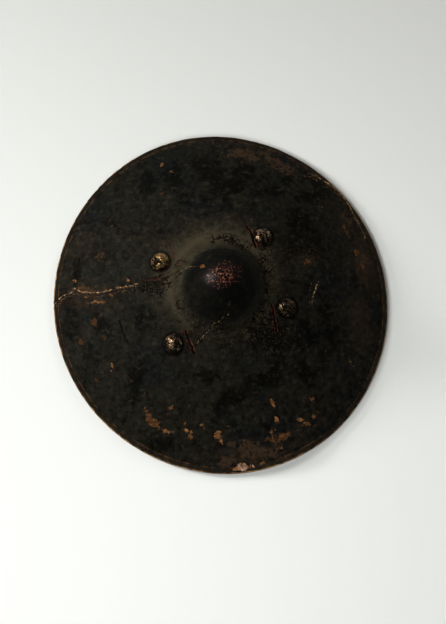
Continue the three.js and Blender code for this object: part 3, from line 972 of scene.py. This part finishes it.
def paper_finish(settings):
    """Matt pale paper, painted a little darker toward the back as shade, with a faint glow up its wall."""
    f = Finish("pale_paper")
    turned = f.node("Mapping", {}, {"Vector": f.place, "Rotation": (0, 0, np.radians(FLOOR_TURN))}).outputs["Vector"]
    # Painted shade: the paper darkens toward the back.
    f.tint = f.mix(f.part(turned, "Y").between(-FLOOR_FADE, FLOOR_FADE), settings.floor, settings.floor_far_painted_shade)
    glow = f.mix(f.part(f.place, "Z").between(0.1, SWEEP_BEND), (0, 0, 0), WALL_GLOW)
    return f.surface(
        Base_Color=f.tint,
        Roughness=0.9,
        Specular_IOR_Level=0.1,
        Emission_Color=glow,
        Emission_Strength=1.0,
    )


def fit_out(piece, material, node):
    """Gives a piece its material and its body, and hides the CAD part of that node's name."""
    piece.data.materials.append(material)
    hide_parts(node)
    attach(piece, "root")


# ---- Operators ----


class SHIELD_OT_hide(bpy.types.Operator):
    """Build the moulded and lacquered hide"""

    bl_idname = "shield.hide"
    bl_label = "Hide"

    def execute(self, context):
        settings = context.scene.shield_hide_settings
        piece = build_hide(settings)
        fit_out(piece, lacquer_finish(settings), "shield_hide")
        return {"FINISHED"}


class SHIELD_OT_studs(bpy.types.Operator):
    """Build the four studs"""

    bl_idname = "shield.studs"
    bl_label = "Studs"

    def execute(self, context):
        settings = context.scene.shield_stud_settings
        for number, place in enumerate(STUDS):
            piece = build_stud(place, settings, number)
            fit_out(piece, stud_finish(place, settings), place.name)
        return {"FINISHED"}


class SHIELD_OT_straps(bpy.types.Operator):
    """Build the two hand straps on the back"""

    bl_idname = "shield.straps"
    bl_label = "Straps"

    def execute(self, context):
        material = strap_finish(context.scene.shield_strap_settings)
        for name, start, end in STRAPS:
            fit_out(build_strap(name, start, end), material, name)
        return {"FINISHED"}


def add_light(light, power):
    """A square soft light at its azimuth, elevation and distance, aimed at the shield."""
    azimuth, elevation = np.radians((light.azimuth, light.elevation))
    level = np.cos(elevation)
    place = Vector((np.cos(azimuth) * level, np.sin(azimuth) * level, np.sin(elevation))) * light.distance
    lamp = bpy.data.lights.new(light.name, "AREA")
    lamp.shape = "SQUARE"
    lamp.size = light.size
    lamp.energy = light.power * power
    lamp.color = light.tint
    lamp.spread = np.radians(light.spread)
    thing = bpy.data.objects.new(light.name, lamp)
    thing.location = place
    thing.rotation_mode = "QUATERNION"
    thing.rotation_quaternion = (-place).to_track_quat("-Z", "Y")
    thing.visible_glossy = light.glossy
    bpy.context.scene.collection.objects.link(thing)


def build_sweep():
    """The floor and backdrop in one: a flat disc that bends up through a quarter circle into a round wall."""
    flat, turn = np.linspace(0.05, 1, 8), np.linspace(0, np.pi / 2, 16)[1:]
    wall = SWEEP_RADIUS + SWEEP_BEND
    r = np.concatenate([flat * SWEEP_RADIUS, SWEEP_RADIUS + SWEEP_BEND * np.sin(turn), [wall]])[:, None]
    z = np.concatenate([0 * flat, SWEEP_BEND * (1 - np.cos(turn)), [SWEEP_HEIGHT]])[:, None] - FLOOR_DROP
    angle = round_angles(SWEEP_SIDES)
    points = np.stack(np.broadcast_arrays(r * np.cos(angle), r * np.sin(angle), z), -1)
    faces = [face[::-1] for face in ring_faces(len(r), SWEEP_SIDES)[:-SWEEP_SIDES]]
    return add_object("studio_sweep", with_poles(points) / MM, faces, {})


class SHIELD_OT_stage(bpy.types.Operator):
    """Set up the pale floor and backdrop, the soft lights and the camera"""

    bl_idname = "shield.stage"
    bl_label = "Stage"

    def execute(self, context):
        settings = context.scene.shield_stage_settings
        scene = context.scene
        sweep = build_sweep()
        sweep.data.materials.append(paper_finish(settings))
        for light in LIGHTS:
            add_light(light, settings.power)

        world = bpy.data.worlds.new("dim_room")
        world.use_nodes = True
        background = world.node_tree.nodes["Background"]
        background.inputs["Color"].default_value = (*ROOM_TINT, 1)
        background.inputs["Strength"].default_value = settings.room
        scene.world = world
        scene.view_settings.view_transform = "Standard"

        camera = bpy.data.objects.new("camera", bpy.data.cameras.new("camera"))
        camera.data.lens = settings.lens
        back = Vector((0, -np.cos(settings.elevation), np.sin(settings.elevation)))
        camera.location = Vector(CAMERA_TARGET) + back * settings.distance
        camera.rotation_mode = "QUATERNION"
        camera.rotation_quaternion = (-back).to_track_quat("-Z", "Y")
        scene.collection.objects.link(camera)
        scene.camera = camera
        return {"FINISHED"}


class VIEW3D_PT_shield(bpy.types.Panel):
    """Lists the shield's operators and settings"""

    bl_label = "Hide Shield"
    bl_idname = "VIEW3D_PT_shield"
    bl_space_type = "VIEW_3D"
    bl_region_type = "UI"
    bl_category = "Hide Shield"

    def draw(self, context):
        for operator, group, _ in STEPS:
            box = self.layout.box()
            box.operator(operator.bl_idname)
            settings = getattr(context.scene, group)
            for name in settings.bl_rna.properties.keys():
                if name not in ("rna_type", "name"):
                    box.prop(settings, name)


# Each operator with the name and the group of its settings.
STEPS = (
    (SHIELD_OT_stage, "shield_stage_settings", StageSettings),
    (SHIELD_OT_hide, "shield_hide_settings", HideSettings),
    (SHIELD_OT_studs, "shield_stud_settings", StudSettings),
    (SHIELD_OT_straps, "shield_strap_settings", StrapSettings),
)
CLASSES = (*(group for _, _, group in STEPS), *(operator for operator, _, _ in STEPS), VIEW3D_PT_shield)


def register():
    for made in CLASSES:
        bpy.utils.register_class(made)
    for _, name, group in STEPS:
        setattr(bpy.types.Scene, name, bpy.props.PointerProperty(type=group))


def unregister():
    for _, name, _ in STEPS:
        delattr(bpy.types.Scene, name)
    for made in reversed(CLASSES):
        bpy.utils.unregister_class(made)


def main():
    register()
    bpy.ops.shield.stage()
    bpy.ops.shield.hide()
    bpy.ops.shield.studs()
    bpy.ops.shield.straps()


if __name__ == "__main__":
    main()
